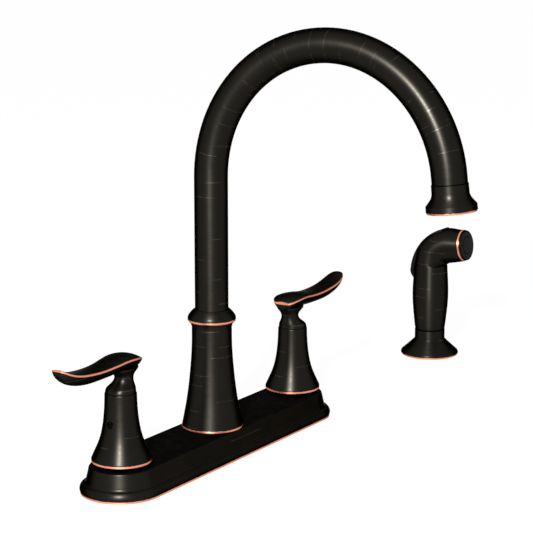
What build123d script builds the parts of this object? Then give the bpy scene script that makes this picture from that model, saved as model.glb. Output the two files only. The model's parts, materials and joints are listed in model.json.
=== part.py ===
# Two handle kitchen faucet with a high arc spout and a side spray.
# Millimetres, +Z up. The origin is on the deck plane, on the axis of the spout.
# +X points to the right-hand handle and -Y to the user; the spout reaches over -Y.

import os
from math import cos, pi, radians, sin, sqrt

from build123d import *

# ---- driving dimensions -------------------------------------------------------

# fits
running_gap = 0.06          # radial, between a turning bore and its post
loose_gap = 0.3             # between pieces that move past each other
seat_gap = 0.1              # between flat faces that slide on each other
fit_gap = 0.05              # radial, between fixed pieces that plug together

# deck plate
handle_centres = 203.2      # the 8 inch hole spacing of the sink
plate_height = 17.3
plate_foot_half = 26.3      # half width where it meets the deck
plate_bead_half = 26.8      # half width at the fullest of the bead
plate_neck_half = 22.6      # half width just above the bead
plate_top_half = 20.9       # half width at the top edge
plate_foot_edge = 1.0
plate_bead_centre = 3.2
plate_bead_top = 6.8
plate_neck_height = 8.8
plate_edge_radius = 1.0
plate_wall = 2.2
gasket_thickness = 1.5

# valve bodies, one below each handle
shank_radius = 10.45        # half inch straight pipe thread, for the nut below the deck
shank_length = 62.0
supply_radius = 10.25       # its lower end, for the supply line
supply_length = 19.0
shank_relief_radius = 9.3   # groove between the two
shank_relief_length = 3.0
shank_bore = 6.5
shank_chamfer = 1.2
valve_flange_radius = 13.5
valve_flange_height = 3.0
valve_housing_radius = 10.9
valve_housing_top = 32.0
valve_port_radius = 3.2
valve_floor = 3.0           # between the shank's bore and the cartridge
cartridge_seat = 16.0
cartridge_radius = 8.6
cartridge_wall = 1.0
cartridge_lid = 2.0
disc_radius = 7.4
disc_thickness = 2.4
port_radius = 2.2           # the two ports of each disc
port_offset = 3.6
stem_radius = 3.8
stem_top = 56.0
spline_length = 8.0         # of the stem's head
spline_teeth = 12
spline_depth = 0.4
bonnet_height = 5.0
bonnet_radius = 10.1
bonnet_flats = 18.8         # across
adapter_length = 12.0       # below the top of the stem
adapter_cap = 0.5           # gap over the stem

# waterways under the plate
waterway_height = 8.2
waterway_radius = 4.76      # three eighths copper tube
waterway_wall = 0.8
waterway_socket = 6.0
waterway_boss_radius = 6.2
waterway_boss_reach = 18.0  # from the valve axis

# spout post
post_block_radius = 14.0
post_radius = 8.6
post_top = 74.0
post_bore = 5.5
seal_ring_section = 1.2     # radius of the rubber
seal_ring_heights = (42.0, 54.0)
clip_height = 26.0
clip_thickness = 1.6
clip_reach = 1.2            # how far the clip stands out of the post
clip_opening = 4.0
post_tail_radius = 8.4
post_tail_length = 20.0
diverter_length = 16.0
diverter_cap = 2.0
diverter_pin_radius = 2.0
diverter_pin_length = 3.0
diverter_window = (3.0, 3.4, 8.0)
diverter_windows = 3
nipple_radius = 6.6
nipple_plug_length = 8.0    # held in the post's tail
nipple_length = 26.0
nipple_hex = 17.0
nipple_hex_height = 7.0
nipple_bore = 4.0

# fixings below the deck
deck_thickness = 12.0       # of the deck the nuts are run up to
washer_radius = 19.0
washer_thickness = 1.5
nut_radius = 15.5
nut_height = 14.0
nut_wing_reach = 21.0
nut_wing_thickness = 4.0
nut_wings = 4
nut_flange_height = 3.0

# spout
tube_radius = 11.1          # seven eighths tube
tube_wall = 1.2
arc_start_height = 185.8    # where the upright starts to bend
rise_radius = 90.4          # of the bend up to its top
fall_radius = 83.9          # of the bend from its top to the outlet
arc_sweep = 174.0           # degrees, from the upright to the outlet
tube_end_length = 3.5       # straight, at the outlet
hub_rim_radius = 20.4
hub_rim_height = 2.2
hub_waist_radius = 13.3
hub_top = 88.8
hub_wall = 2.4
hub_flare_height = 35.2
hub_flare_radius = 17.2
hub_taper_height = 55.0
hub_taper_radius = 14.7
hub_waist_height = 78.0
hub_rim_edge = 0.9          # straight part of the rim's side
hub_rim_taper = 0.3
hub_lip_length = 3.0        # small flare below the collar
hub_lip_reach = 0.8
hub_washer_thickness = 0.4
collar_radius = 15.85
collar_height = 9.0
collar_edge_reach = 1.2     # lower edge, cut back by this over the height below
collar_edge_height = 1.4
collar_top_step = 0.6       # round the tube
sleeve_radius = 12.0
sleeve_bottom = 21.0
sleeve_shoulder = 62.0
sleeve_top = 84.0

# outlet at the end of the arc
outlet_length = 17.8
outlet_neck_radius = 11.5
outlet_lip_radius = 15.8
outlet_lip_height = 4.6
outlet_flare_height = 6.0
outlet_wall = 1.6
outlet_spigot = 4.0
outlet_spigot_gap = 0.2     # lets the straight spigot into the bent tube
outlet_joint_step = 0.6     # small step where the outlet meets the tube
outlet_lip_chamfer = 1.0
insert_radius = 12.2
insert_thickness = 3.6
insert_recess = 0.8
insert_hole_radius = 1.0
insert_hole_spacing = 3.4
outlet_washer_thickness = 1.6
outlet_washer_bore = 8.6
insert_groove = (11.0, 10.4, 0.6)   # outer and inner radius, depth

# handles; each is one casting of a bell, a neck and a paddle
bell_gap = 3.2              # the bell hangs this far above the plate
bell_rim_radius = 19.1
bell_rim_height = 1.8
bell_mid_radius = 13.95
bell_mid_height = 34.2
bell_upper_radius = 11.1
bell_upper_height = 48.0
bell_top_radius = 10.15
bell_top_height = 64.5
bell_shoulder_radius = 0.7  # rounding of the shoulder's edge
shoulder_groove_depth = 0.9
shoulder_groove_height = 0.5
bell_wall = 1.8
bell_cavity_top = 39.5
neck_radius = 6.0
neck_rise = 8.5             # of the narrowest part above the shoulder
neck_setback = 3.5          # towards the back end of the paddle
insert_socket_radius = 6.9
insert_socket_top = 57.5
set_screw_height = 46.0
set_screw_radius = 2.4
set_screw_recess = 1.5
set_screw_hex = 2.5
set_screw_socket = 2.0      # depth of the hexagon
set_screw_socket_setback = 1.6

# the paddle, station by station, out from the handle's axis:
# distance, height of its edge above the shoulder, half width, rise of the top, depth of the belly
paddle_stations = (
    (-14.4, 19.6, 4.6, 0.5, 4.0),
    (-12.8, 20.3, 7.7, 1.3, 6.0),
    (-9.0, 21.4, 9.7, 2.0, 7.2),
    (-3.0, 22.2, 10.5, 2.3, 8.0),
    (4.0, 22.1, 9.9, 2.2, 8.1),
    (14.0, 21.1, 8.8, 1.7, 7.6),
    (26.0, 20.5, 8.0, 1.1, 7.3),
    (38.0, 21.1, 7.6, 1.0, 7.6),
    (49.0, 22.7, 7.5, 1.1, 7.3),
    (57.0, 25.1, 6.9, 1.1, 6.4),
    (61.0, 27.0, 5.3, 0.9, 5.0),
    (62.9, 28.0, 3.2, 0.5, 3.4),
)
# the neck under it: height above the shoulder, half length, half width, setback
neck_stations = (
    (0.0, 9.75, 9.75, 0.0),
    (2.9, 9.2, 9.2, 0.5),
    (5.3, 7.4, 7.4, 2.2),
    (neck_rise, neck_radius + 0.1, neck_radius, neck_setback),
    (12.1, 7.9, 6.8, neck_setback),
    (15.6, 10.4, 8.9, 3.2),
)

# side spray
spray_distance = 309.0      # from the spout's axis, in line with the handles
holder_rim_radius = 22.6
holder_rim_height = 3.0
holder_neck_radius = 11.8
holder_foot_radius = 21.7   # where the rim's rounding meets the deck
holder_cone_radius = 17.5
holder_cone_middle = 7.2
holder_cone_top = 12.0
holder_height = 20.0
holder_bore = 10.9
holder_bore_depth = 14.0
holder_tail_radius = 12.6
holder_tail_bore = 9.4
holder_tail_length = 38.0
holder_neck_step = 0.6      # ledge round the foot of the neck
holder_neck_step_height = 0.9
holder_rim_taper = 0.4
holder_nut_flats = 32.4     # across
holder_nut_height = 8.0

wand_foot_radius = 11.5
grip_waist_radius = 12.5
grip_waist_height = 27.5
grip_radius = 14.1          # fullest part of the grip
grip_height = 48.0
grip_neck_radius = 13.0
elbow_height = 72.0         # where the grip starts to bend
elbow_radius = 17.0
elbow_section = 13.8        # radius at the end of the bend
elbow_early_radius = 13.4   # a third of the way round
elbow_late_radius = 13.8    # two thirds
head_middle_radius = 13.25
head_middle = 6.5
head_rise = 7.0             # degrees, how far the head points above level
head_length = 16.2          # from the end of the bend to the spray face
head_end_radius = 12.2
face_bevel = 2.2            # length of the bevel round the face
face_radius = 11.7
face_dome = 0.8
nozzle_holes = 18
nozzle_hole_radius = 0.6
nozzle_ring_radius = 6.7
nozzle_disc_radius = 10.8
nozzle_disc_thickness = 3.0

swivel_radius = 6.2
swivel_bore = 3.5
swivel_top = 18.0
swivel_clip_height = 11.0
swivel_clip_thickness = 1.4
swivel_clip_reach = 1.2
swivel_groove_depth = 0.9
swivel_clip_opening = 3.0
thread_chamfer = 0.8        # at the ends of the small threads
inlet_radius = 5.9          # threaded end of the swivel, for a hose
inlet_top = 3.0
inlet_bottom = -8.0

trigger_width = 12.6
trigger_radius = 39.6       # of its outer face, wider than the elbow's
trigger_centre_drop = 7.15  # of that face's centre, below and ahead of the elbow's
trigger_thickness = 3.2
trigger_edge_radius = 1.2
trigger_start = 72.0        # degrees round that centre, from level
trigger_end = 3.0
trigger_tip_reach = 11.7    # tip of the toe, behind the wand's axis
trigger_tip_drop = 11.2     # tip of the toe, below the elbow's centre
trigger_travel = 3.5        # room for the toe when it is pressed
toe_room_inset = 1.4        # that room widens inwards by this at its foot
toe_bulge = (2.9, 3.7)      # middle of the toe's outer face from its tip
toe_edge = (0.9, 1.2)       # thickness of the tip
toe_inset = 0.5             # toe narrower than the blade, each side
trigger_finger_radius = 2.2
pivot_setback = 4.0         # trigger pin, behind the elbow's centre
pivot_rise = 26.4           # and above it
pivot_pin_radius = 1.0
trigger_lug_radius = 2.3
trigger_lug_half = 4.0
trigger_pin_half = 9.0

spray_valve_bore = 4.3
valve_bore_drop = 24.0      # bottom of the valve's bore, below the elbow's centre
spray_stem_radius = 1.6
spray_stem_rise = 11.4      # top of the stem, above the elbow's centre
spray_stem_flange = 3.6
spray_flange_thickness = 1.6
spray_guide_drop = 2.0      # bottom of the guide, below the elbow's centre
spray_guide_height = 4.0
spray_spring_turns = 6
spray_spring_wire = 0.35
spray_spring_radius = 2.9
spray_spring_height = 11.0

# ---- sizes that follow ----------------------------------------------------------

handle_x = handle_centres / 2
plate_ceiling = plate_height - plate_wall
bell_bottom = plate_height + bell_gap
hub_bottom = plate_height + hub_washer_thickness + seat_gap
tube_bore = tube_radius - tube_wall
housing_bore = cartridge_radius + fit_gap
bonnet_top = valve_housing_top + bonnet_height
nut_top = -deck_thickness - washer_thickness
wand_bottom = holder_height + loose_gap
spray_valve_bottom = elbow_height - valve_bore_drop
spray_stem_top = elbow_height + spray_stem_rise
spray_guide_bottom = elbow_height - spray_guide_drop
pivot_place = (-elbow_radius + pivot_setback, elbow_height + pivot_rise)
trigger_inside = trigger_radius - trigger_thickness


# ---- shared operations ----------------------------------------------------------

def turned(outline):
    """Solid of revolution about Z from an outline drawn in the XZ plane."""
    return revolve(Plane.XZ * make_face(outline), Axis.Z)


def closed(*points):
    """Closed outline of straight lines."""
    return Polyline(*points, close=True)


def rod(radius, bottom, top):
    """Upright round bar."""
    return Pos(0, 0, bottom) * extrude(Circle(radius), top - bottom)


def tube(outer, inner, bottom, top):
    """Upright round tube."""
    return rod(outer, bottom, top) - rod(inner, bottom - 1, top + 1)


def hex_bar(across_flats, bottom, top):
    """Upright hexagonal bar."""
    return Pos(0, 0, bottom) * extrude(RegularPolygon(across_flats / 2, 6, major_radius=False), top - bottom)


def cross_bar(radius, start, end, height):
    """Round bar along X at the given height."""
    return Pos(start, 0, height) * Rot(0, 90, 0) * extrude(Circle(radius), end - start)


def stadium(half_length, radius):
    """Straight-sided plan with round ends."""
    return Rectangle(2 * half_length, 2 * radius) + Pos(-half_length, 0) * Circle(radius) + Pos(
        half_length, 0) * Circle(radius)


def run_along_plate(outline):
    """The half section swept round the plate: straight sides and two round ends."""
    half = make_face(outline)
    middle = extrude(Plane.YZ * (half + mirror(half, Plane.YZ)), handle_x, both=True)
    end = revolve(Plane.XZ * half, Axis.Z)
    return middle + Pos(-handle_x, 0, 0) * end + Pos(handle_x, 0, 0) * end


def save(part, name):
    """One STEP file for each named piece."""
    part.label = name
    export_step(part, "parts/" + name + ".step")


# ---- deck plate and what it covers ----------------------------------------------

def make_deck_plate():
    """Cast cover with a rounded bead at its foot, hollow below, with three holes."""
    bead_end = (plate_neck_half + 1.1, plate_bead_top)
    edge_start = (plate_top_half, plate_height - plate_edge_radius)
    outline = Line((0, 0), (plate_foot_half, 0))
    outline += Line((plate_foot_half, 0), (plate_foot_half, plate_foot_edge))
    outline += ThreePointArc((plate_foot_half, plate_foot_edge), (plate_bead_half, plate_bead_centre),
                             bead_end)
    outline += ThreePointArc(bead_end, (plate_neck_half + 0.3, plate_bead_top + 0.8),
                             (plate_neck_half, plate_neck_height))
    outline += Line((plate_neck_half, plate_neck_height), edge_start)
    outline += ThreePointArc(edge_start, (plate_top_half - 0.35, plate_height - 0.3),
                             (plate_top_half - plate_edge_radius, plate_height))
    outline += Line((plate_top_half - plate_edge_radius, plate_height), (0, plate_height))
    outline += Line((0, plate_height), (0, 0))
    skirt = plate_foot_half - plate_wall
    waist = plate_neck_half - plate_wall
    hollow = closed((0, -1), (skirt, -1), (skirt, plate_bead_top - plate_wall), (waist, plate_bead_top + 0.8),
                    (plate_top_half - plate_wall, plate_ceiling), (0, plate_ceiling))
    plate = run_along_plate(outline) - run_along_plate(hollow)
    for x in (-handle_x, handle_x):
        plate -= Pos(x, 0, 0) * rod(valve_housing_radius + loose_gap, 0, plate_height + 1)
    plate -= rod(post_radius + 2, 0, plate_height + 1)
    return plate


def make_plate_gasket():
    """Sealing sheet inside the plate's skirt, with clearance holes for the brassware."""
    sheet = extrude(stadium(handle_x, plate_foot_half - plate_wall - loose_gap), gasket_thickness)
    for x in (-handle_x, handle_x):
        sheet -= Pos(x, 0, 0) * rod(valve_flange_radius + loose_gap, -1, gasket_thickness + 1)
    return sheet - rod(post_block_radius + loose_gap, -1, gasket_thickness + 1)


def make_valve_body():
    """Brass valve body on its own axis, its waterway boss pointing along +X."""
    supply_top = supply_length - shank_length
    supply = rod(supply_radius, -shank_length, supply_top)
    supply = chamfer(supply.faces().sort_by(Axis.Z)[0].edges(), shank_chamfer)
    body = supply + rod(shank_relief_radius, supply_top, supply_top + shank_relief_length)
    body += rod(shank_radius, supply_top + shank_relief_length, valve_flange_height)
    body += rod(valve_flange_radius, 0, valve_flange_height)
    body += rod(valve_housing_radius, 0, valve_housing_top)
    body += cross_bar(waterway_boss_radius, 0, waterway_boss_reach, waterway_height)
    body -= rod(shank_bore, -shank_length - 1, cartridge_seat - valve_floor)
    body -= rod(valve_port_radius, 0, cartridge_seat + 1)
    body -= rod(housing_bore, cartridge_seat, valve_housing_top + 1)
    body -= cross_bar(waterway_radius + fit_gap, waterway_boss_reach - waterway_socket,
                      waterway_boss_reach + 1, waterway_height)
    body -= cross_bar(waterway_radius - waterway_wall, 0, waterway_boss_reach, waterway_height)
    return body


def make_waterway():
    """Copper tube from the right-hand valve body to the post."""
    start = post_block_radius - waterway_socket + loose_gap
    end = handle_x - waterway_boss_reach + waterway_socket - loose_gap
    outer = cross_bar(waterway_radius, start, end, waterway_height)
    return outer - cross_bar(waterway_radius - waterway_wall, start - 1, end + 1, waterway_height)


def make_spout_post():
    """Brass block and post that the spout turns on, with ring grooves and a tail through the deck."""
    post = rod(post_block_radius, 0, plate_ceiling - loose_gap)
    post += rod(post_radius, 0, post_top)
    post += rod(post_tail_radius, -post_tail_length, 0)
    groove_floor = post_radius - 2 * seal_ring_section
    for height in seal_ring_heights:
        half = seal_ring_section + fit_gap
        post -= tube(post_radius + 1, groove_floor, height - half, height + half)
    post -= tube(post_radius + 1, post_radius - clip_reach, clip_height - fit_gap,
                 clip_height + clip_thickness + fit_gap)
    post -= rod(post_bore, waterway_height, post_top + 1)
    for side in (-1, 1):
        reach = side * (post_block_radius + 1)
        socket_floor = side * (post_block_radius - waterway_socket)
        low, high = sorted((reach, socket_floor))
        post -= cross_bar(waterway_radius + fit_gap, low, high, waterway_height)
        low, high = sorted((reach, 0))
        post -= cross_bar(waterway_radius - waterway_wall, low, high, waterway_height)
    post -= rod(nipple_radius + fit_gap, -post_tail_length - 1, nipple_plug_length - post_tail_length)
    post -= rod(nipple_bore, -post_tail_length, waterway_height)
    return post


def make_post_seals():
    """Two rubber rings in the post's grooves."""
    middle = post_radius + fit_gap / 2 - seal_ring_section
    rings = [Pos(0, 0, height) * Torus(middle, seal_ring_section) for height in seal_ring_heights]
    return Compound(children=rings)


def make_spout_clip():
    """Split spring clip that keeps the spout on its post."""
    ring = tube(post_radius + clip_reach, post_radius - clip_reach + fit_gap, clip_height,
                clip_height + clip_thickness)
    return ring - Pos(post_radius, 0, clip_height) * Box(2 * post_radius, clip_opening, 4 * clip_thickness)


def make_diverter():
    """Valve in the top of the post that sends the water to the side spray."""
    cap_top = post_top + diverter_cap
    body = rod(post_bore - fit_gap, post_top - diverter_length, post_top)
    body += rod(post_radius - 1, post_top, cap_top)
    body += rod(diverter_pin_radius, cap_top, cap_top + diverter_pin_length)
    window = Pos(post_bore, 0, post_top - 6) * Box(*diverter_window)
    for turn in range(diverter_windows):
        body -= Rot(0, 0, turn * 360 / diverter_windows) * window
    return body


def make_spray_nipple():
    """Threaded nipple with a hexagon, under the post, for the spray's hose."""
    top = nipple_plug_length - post_tail_length - fit_gap
    bottom = -post_tail_length - nipple_length
    nipple = rod(nipple_radius, bottom, top)
    nipple = chamfer(nipple.faces().sort_by(Axis.Z)[0].edges(), thread_chamfer)
    nipple += hex_bar(nipple_hex, -post_tail_length - nipple_hex_height, -post_tail_length)
    return nipple - rod(nipple_bore, bottom - 1, top + 1)


# ---- valve parts inside each handle ----------------------------------------------

def make_cartridge():
    """Shell of the quarter turn cartridge, open below for the discs."""
    shell = tube(cartridge_radius, cartridge_radius - cartridge_wall, cartridge_seat, valve_housing_top)
    lid = valve_housing_top - cartridge_lid
    return shell + tube(cartridge_radius, stem_radius + loose_gap, lid, valve_housing_top)


def make_fixed_disc():
    """Ceramic disc with two ports that stays still."""
    top = cartridge_seat + disc_thickness
    disc = rod(disc_radius, cartridge_seat, top)
    for side in (-1, 1):
        disc -= Pos(0, side * port_offset, 0) * rod(port_radius, cartridge_seat - 1, top + 1)
    return disc


def make_turning_disc():
    """Ceramic disc that turns with the stem and covers the ports."""
    bottom = cartridge_seat + disc_thickness + seat_gap
    disc = rod(disc_radius, bottom, bottom + disc_thickness)
    for side in (-1, 1):
        disc -= Pos(side * port_offset, 0, 0) * rod(port_radius, bottom - 1, bottom + disc_thickness + 1)
    return disc


def make_valve_stem():
    """Stem with a driving foot and a splined head."""
    bottom = cartridge_seat + 2 * disc_thickness + seat_gap
    stem = rod(disc_radius, bottom, valve_housing_top - cartridge_lid - loose_gap)
    stem += rod(stem_radius, bottom, stem_top - spline_length)
    root = stem_radius - spline_depth
    head = rod(root, stem_top - spline_length, stem_top)
    tooth = Pos(root, 0, stem_top - spline_length / 2) * Box(2 * spline_depth, 0.9, spline_length)
    for turn in range(spline_teeth):
        head += Rot(0, 0, turn * 360 / spline_teeth) * tooth
    return stem + head


def make_bonnet_nut():
    """Brass nut that holds the cartridge down."""
    nut = rod(bonnet_radius, valve_housing_top, bonnet_top)
    nut &= hex_bar(bonnet_flats, valve_housing_top, bonnet_top)
    return nut - rod(stem_radius + loose_gap, valve_housing_top - 1, bonnet_top + 1)


def make_stem_adapter():
    """Plastic splined bush between the stem and the handle."""
    cap = stem_top + adapter_cap
    bush = tube(insert_socket_radius, stem_radius + fit_gap, stem_top - adapter_length, cap)
    return bush + rod(insert_socket_radius, cap, insert_socket_top - loose_gap)


# ---- handles ----------------------------------------------------------------------

def bell_outline(inset, bottom):
    """Flaring outline of the bell from its rim to its shoulder, drawn in by the inset."""
    rim = bell_bottom + bell_rim_height
    flare_top = bell_top_height - bell_shoulder_radius
    flare = Spline((bell_rim_radius - inset, rim), (bell_mid_radius - inset, bell_mid_height),
                   (bell_upper_radius - inset, bell_upper_height), (bell_top_radius - inset, flare_top),
                   tangents=((-0.42, 1), (-0.02, 1)))
    shoulder = bell_top_radius - inset - bell_shoulder_radius
    slant = bell_shoulder_radius * cos(pi / 4)
    outline = Line((0, bottom), (bell_rim_radius - inset, bottom))
    outline += Line((bell_rim_radius - inset, bottom), (bell_rim_radius - inset, rim))
    outline += flare
    outline += ThreePointArc((bell_top_radius - inset, flare_top), (shoulder + slant, flare_top + slant),
                             (shoulder, bell_top_height))
    outline += Line((shoulder, bell_top_height), (0, bell_top_height))
    outline += Line((0, bell_top_height), (0, bottom))
    return outline


def make_neck():
    """Leaning neck between the bell's shoulder and the paddle."""
    rings = [Pos(-setback, 0, bell_top_height + rise) * Ellipse(half_length, half_width)
             for rise, half_length, half_width, setback in neck_stations]
    groove_floor = bell_top_radius - shoulder_groove_depth
    groove_top = bell_top_height + shoulder_groove_height
    return loft(rings) - tube(bell_top_radius + 1, groove_floor, bell_top_height, groove_top)


def make_paddle():
    """S-curved paddle: a crowned top and a rounded belly that meet in one edge."""
    sections = []
    for along, rise, half_width, crown, belly in paddle_stations:
        cut = Plane(origin=(along, 0, bell_top_height + rise), x_dir=(0, 1, 0), z_dir=(1, 0, 0))
        top = ThreePointArc((-half_width, 0), (0, crown), (half_width, 0))
        bottom = ThreePointArc((half_width, 0), (0, -belly), (-half_width, 0))
        sections.append(cut * make_face(top + bottom))
    return loft(sections)


def make_handle():
    """Lever handle on its own axis, its paddle pointing along +X."""
    bell = turned(bell_outline(0, bell_bottom))
    hollow = turned(bell_outline(bell_wall, bell_bottom - 1)) & rod(bell_rim_radius, 0, bell_cavity_top)
    handle = bell + make_neck() + make_paddle()
    handle -= hollow
    handle -= rod(insert_socket_radius + fit_gap, bell_cavity_top - 1, insert_socket_top)
    return handle - cross_bar(set_screw_radius + fit_gap, insert_socket_radius - 1, bell_rim_radius,
                              set_screw_height)


def make_set_screw():
    """Grub screw in the bell's side that clamps the adapter."""
    end = bell_upper_radius - set_screw_recess
    start = insert_socket_radius + fit_gap
    screw = cross_bar(set_screw_radius, start, end, set_screw_height)
    socket = extrude(RegularPolygon(set_screw_hex / 2, 6, major_radius=False), set_screw_socket)
    return screw - Pos(end - set_screw_socket_setback, 0, set_screw_height) * Rot(0, 90, 0) * socket


def on_side(part, side):
    """Puts a right-hand piece on its handle axis, or its mirror image on the left one."""
    return Pos(handle_x, 0, 0) * part if side > 0 else Pos(-handle_x, 0, 0) * mirror(part, Plane.YZ)


# ---- fixings below the deck ---------------------------------------------------------

def make_mount_washer():
    """Steel washer under the deck."""
    return tube(washer_radius, shank_radius + loose_gap, nut_top, nut_top + washer_thickness)


def make_mount_nut():
    """Plastic wing nut run up the shank."""
    nut = rod(nut_radius, nut_top - nut_height, nut_top)
    nut += rod(washer_radius - 1, nut_top - nut_flange_height, nut_top)
    for wing in range(nut_wings):
        blade = Pos(nut_wing_reach / 2, 0, nut_top - nut_height / 2)
        nut += Rot(0, 0, wing * 360 / nut_wings) * blade * Box(nut_wing_reach, nut_wing_thickness, nut_height)
    return nut - rod(shank_radius + fit_gap, nut_top - nut_height - 1, nut_top + 1)


# ---- spout ---------------------------------------------------------------------------

def fall_point(turned_by):
    """Point of the tube's descending bend, by the degrees turned since the upright."""
    angle = radians(turned_by)
    top_height = arc_start_height + rise_radius
    return 0, -rise_radius + fall_radius * cos(angle), top_height + fall_radius * (sin(angle) - 1)


def make_spout_tube():
    """High arc tube: upright, a wide bend to its top, a tighter one down, and a short straight end."""
    start = (0, 0, sleeve_shoulder)
    bend_start = (0, 0, arc_start_height)
    bend_top = fall_point(90)
    rise_middle = (0, rise_radius * (cos(pi / 4) - 1), arc_start_height + rise_radius * sin(pi / 4))
    fall_middle = fall_point((90 + arc_sweep) / 2)
    bend_end = fall_point(arc_sweep)
    path = Line(start, bend_start) + ThreePointArc(bend_start, rise_middle, bend_top)
    path += ThreePointArc(bend_top, fall_middle, bend_end) + Line(bend_end, outlet_place().origin)
    section = Plane.XY.offset(sleeve_shoulder) * (Circle(tube_radius) - Circle(tube_bore))
    return sweep(section, path=path)


def outlet_place():
    """Frame at the end of the tube, its +Z along the way the water leaves."""
    arc_end = radians(arc_sweep)
    bend_end = Plane(origin=fall_point(arc_sweep), x_dir=(1, 0, 0), z_dir=(0, -sin(arc_end), cos(arc_end)))
    return bend_end.offset(tube_end_length)


def make_outlet():
    """Flared outlet with a heavy lip, plugged into the tube."""
    lip_start = outlet_length - outlet_lip_height
    flare_start = (outlet_neck_radius + 0.1, outlet_flare_height)
    lip_end = (outlet_lip_radius + 0.1, outlet_length - outlet_lip_chamfer)
    outline = Line((0, 0), (tube_radius - 0.2, 0))
    outline += Line((tube_radius - 0.2, 0), (outlet_neck_radius, outlet_joint_step))
    outline += Line((outlet_neck_radius, outlet_joint_step), flare_start)
    outline += Spline(flare_start, (outlet_neck_radius + 2.1, outlet_flare_height + 4.6),
                      (outlet_lip_radius, lip_start), tangents=((0.06, 1), (1, 1.1)))
    outline += Line((outlet_lip_radius, lip_start), lip_end)
    outline += Line(lip_end, (outlet_lip_radius - 0.5, outlet_length))
    outline += Line((outlet_lip_radius - 0.5, outlet_length), (0, outlet_length))
    outline += Line((0, outlet_length), (0, 0))
    spigot = tube_bore - outlet_spigot_gap
    shell = turned(outline) + rod(spigot, -outlet_spigot, 0)
    shell -= rod(spigot - outlet_wall, -outlet_spigot - 1, outlet_length)
    chamber = insert_thickness + insert_recess + outlet_washer_thickness
    shell -= rod(insert_radius + fit_gap, outlet_length - chamber, outlet_length + 1)
    return outlet_place() * shell


def make_outlet_washer():
    """Rubber washer above the aerator."""
    top = outlet_length - insert_recess - insert_thickness
    return outlet_place() * tube(insert_radius, outlet_washer_bore, top - outlet_washer_thickness, top)


def make_aerator():
    """Aerator insert with its field of holes."""
    top = outlet_length - insert_recess
    disc = rod(insert_radius, top - insert_thickness, top)
    outer, inner, depth = insert_groove
    disc -= tube(outer, inner, top - depth, top + 1)
    bottom = top - insert_thickness - 1
    for row in range(-2, 3):
        count = 5 - abs(row)
        for column in range(count):
            x = (column - (count - 1) / 2) * insert_hole_spacing
            y = row * insert_hole_spacing * cos(pi / 6)
            disc -= Pos(x, y, 0) * rod(insert_hole_radius, bottom, top + 1)
    return outlet_place() * disc


def make_spout_sleeve():
    """Brass adapter brazed into the tube that turns on the post."""
    sleeve = rod(sleeve_radius, sleeve_bottom, sleeve_shoulder)
    sleeve += rod(tube_bore, sleeve_shoulder, sleeve_top)
    sleeve -= rod(post_radius + running_gap, sleeve_bottom - 1, sleeve_top + 1)
    groove = post_radius + clip_reach + loose_gap
    return sleeve - rod(groove, clip_height - loose_gap, clip_height + clip_thickness + loose_gap)


def make_spout_hub():
    """Flared cover round the foot of the spout."""
    rim_top = hub_bottom + hub_rim_height
    lip_bottom = hub_top - hub_lip_length
    outline = Line((0, hub_bottom), (hub_rim_radius, hub_bottom))
    outline += Line((hub_rim_radius, hub_bottom), (hub_rim_radius, hub_bottom + hub_rim_edge))
    outline += Line((hub_rim_radius, hub_bottom + hub_rim_edge), (hub_rim_radius - hub_rim_taper, rim_top))
    outline += Spline((hub_rim_radius - hub_rim_taper, rim_top), (hub_flare_radius, hub_flare_height),
                      (hub_taper_radius, hub_taper_height), (hub_waist_radius, hub_waist_height),
                      (hub_waist_radius, lip_bottom), tangents=((-0.2, 1), (0, 1)))
    outline += Line((hub_waist_radius, lip_bottom), (hub_waist_radius + hub_lip_reach, hub_top))
    outline += Line((hub_waist_radius + hub_lip_reach, hub_top), (0, hub_top))
    outline += Line((0, hub_top), (0, hub_bottom))
    hollow = closed((0, hub_bottom - 1), (hub_rim_radius - hub_wall, hub_bottom - 1),
                    (hub_rim_radius - hub_wall, rim_top), (sleeve_radius + fit_gap, hub_taper_height - 5),
                    (sleeve_radius + fit_gap, sleeve_shoulder), (tube_radius, sleeve_shoulder),
                    (tube_radius, hub_top + 1), (0, hub_top + 1))
    return turned(outline) - turned(hollow)


def make_spout_collar():
    """Raised ring where the tube leaves the hub."""
    top = hub_top + collar_height
    belly = hub_top + 0.45 * collar_height
    edge = (collar_radius - collar_edge_reach, hub_top)
    widest = (collar_radius, hub_top + collar_edge_height)
    waist = (collar_radius - 0.4, belly + 0.8)
    inner = (tube_radius + collar_top_step, top)
    outline = Line((tube_radius, hub_top), edge) + Line(edge, widest)
    outline += ThreePointArc(widest, (collar_radius + 0.15, belly - 0.9), waist)
    outline += ThreePointArc(waist, (collar_radius - 1.7, top - 2.4), inner)
    outline += Line(inner, (tube_radius, top)) + Line((tube_radius, top), (tube_radius, hub_top))
    return turned(outline)


def make_hub_washer():
    """Thin slip ring the hub turns on."""
    outer = hub_rim_radius - hub_wall + 1.2
    return tube(outer, post_radius + 3, plate_height, plate_height + hub_washer_thickness)


# ---- side spray ------------------------------------------------------------------------

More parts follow.
